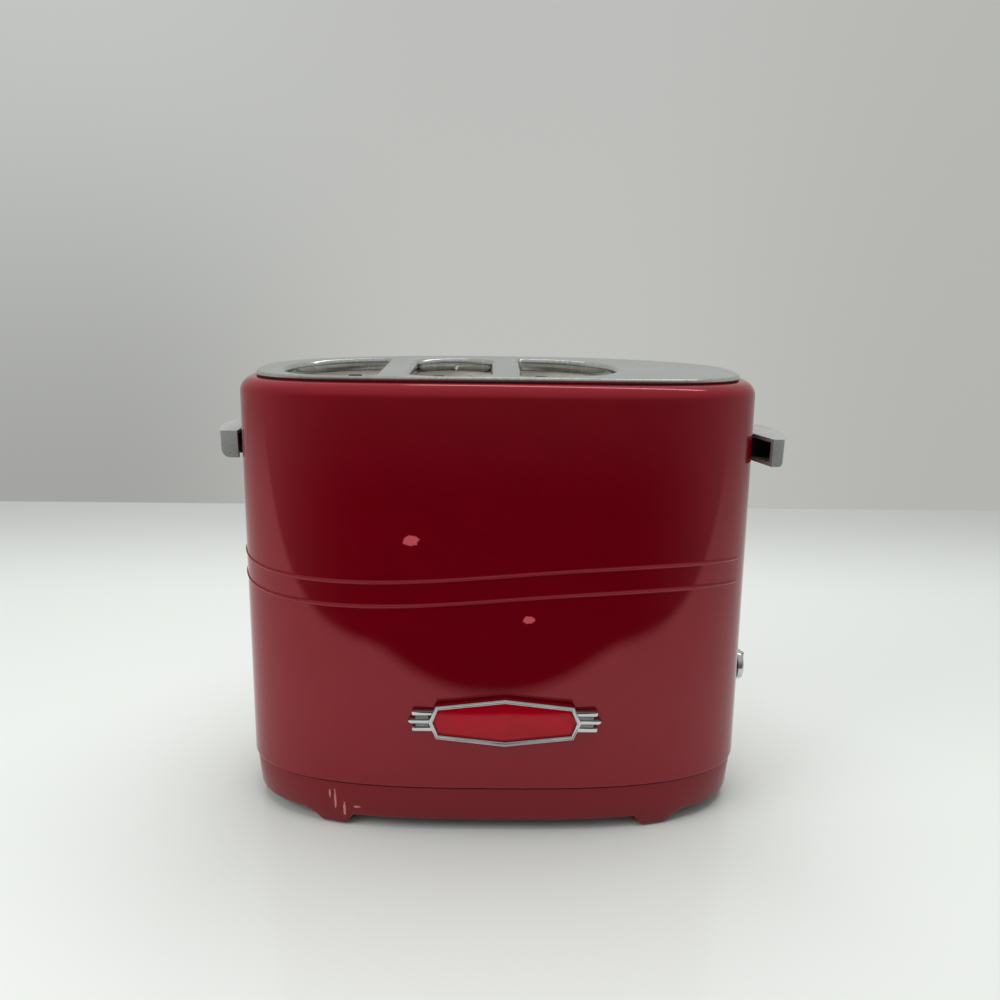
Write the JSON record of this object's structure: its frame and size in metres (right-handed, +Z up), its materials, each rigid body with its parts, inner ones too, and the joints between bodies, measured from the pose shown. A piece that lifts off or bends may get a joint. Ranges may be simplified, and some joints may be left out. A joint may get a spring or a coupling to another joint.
{
  "type": "hot dog toaster",
  "caption": "Free-standing pop-up toaster for hot dogs and buns, with a red moulded casing, steel top plate, end levers, dial, stop button and crumb tray.",
  "frame": {"origin": "on the surface the toaster stands on, under the middle of the casing", "axes": "+X to the right seen from the front, along the casing's length; +Y to the back, along its depth; +Z up"},
  "size_m": [0.2492, 0.1065, 0.2],
  "materials": {
    "casing_red": "glossy lacquer",
    "base_red": "satin",
    "plate_steel": "brushed along the length",
    "liner_steel": "bright rolled sheet",
    "zinc_sheet": "zinc coated sheet",
    "bright_steel": "plain bright steel",
    "chrome": "polished",
    "badge_enamel": "clear coated enamel",
    "dark_rubber": "matt",
    "dark_plastic": "matt moulded",
    "heater_board": "mica board",
    "heater_ribbon": "oxidised resistance ribbon",
    "board_green": "coated circuit board",
    "magnet_iron": "soft iron",
    "coil_copper": "enamelled copper wire",
    "slider_nylon": "natural nylon"
  },
  "bodies": {
    "housing": {"body_shell": "casing_red", "badge_boss": "casing_red", "top_plate": "plate_steel", "plate_gasket": "dark_rubber", "bun_liner_left": "liner_steel", "hot_dog_liner": "liner_steel", "bun_liner_right": "liner_steel", "hot_dog_divider": "liner_steel", "base_skirt": "base_red", "bottom_cover": "dark_plastic", "foot_pads": "dark_rubber", "chassis_pan": "zinc_sheet", "chassis_end_left": "zinc_sheet", "chassis_end_right": "zinc_sheet", "board_bracket": "zinc_sheet", "guide_rods": "bright_steel", "heater_board_left": "heater_board", "heater_board_right": "heater_board", "heater_ribbon_left": "heater_ribbon", "heater_ribbon_right": "heater_ribbon", "badge_frame": "chrome", "badge_wings": "chrome", "badge_field": "badge_enamel", "cord_gland": "dark_rubber", "control_board": "board_green", "magnet_core": "magnet_iron", "magnet_coil": "coil_copper", "timer_body": "dark_plastic", "stop_switch": "dark_plastic", "bottom_screws": "bright_steel", "return_spring_left": "bright_steel", "return_spring_right": "bright_steel"},
    "carriage": {"carriage_frame": "zinc_sheet", "slider_left": "slider_nylon", "slider_right": "slider_nylon", "bun_lift_left": "bright_steel", "hot_dog_lift": "bright_steel", "bun_lift_right": "bright_steel", "lever_arm_left": "zinc_sheet", "lever_arm_right": "zinc_sheet", "lever_knob_left": "chrome", "lever_knob_right": "chrome", "latch_plate": "bright_steel"},
    "dial": {"dial_knob": "chrome", "dial_shaft": "bright_steel"},
    "button": {"stop_button": "chrome"},
    "tray": {"crumb_tray": "zinc_sheet", "tray_panel": "base_red"}
  },
  "joints": [
    {"name": "carriage_slide", "type": "slide", "parent": "housing", "child": "carriage", "axis": [0, 0, -1], "range_m": [0, 0.072], "stiffness_N_per_m": 120, "springref_m": -0.03, "deforming": ["return_spring_left", "return_spring_right"]},
    {"name": "dial_turn", "type": "hinge", "parent": "housing", "child": "dial", "pos_m": [0.114, 0, 0.0586], "axis": [-1, 0, 0], "range_deg": [0, 270]},
    {"name": "button_press", "type": "slide", "parent": "housing", "child": "button", "axis": [-1, 0, 0], "range_m": [0, 0.0025], "stiffness_N_per_m": 400, "springref_m": -0.001},
    {"name": "tray_slide", "type": "slide", "parent": "housing", "child": "tray", "axis": [0, 1, 0], "range_m": [0, 0.075]}
  ]
}
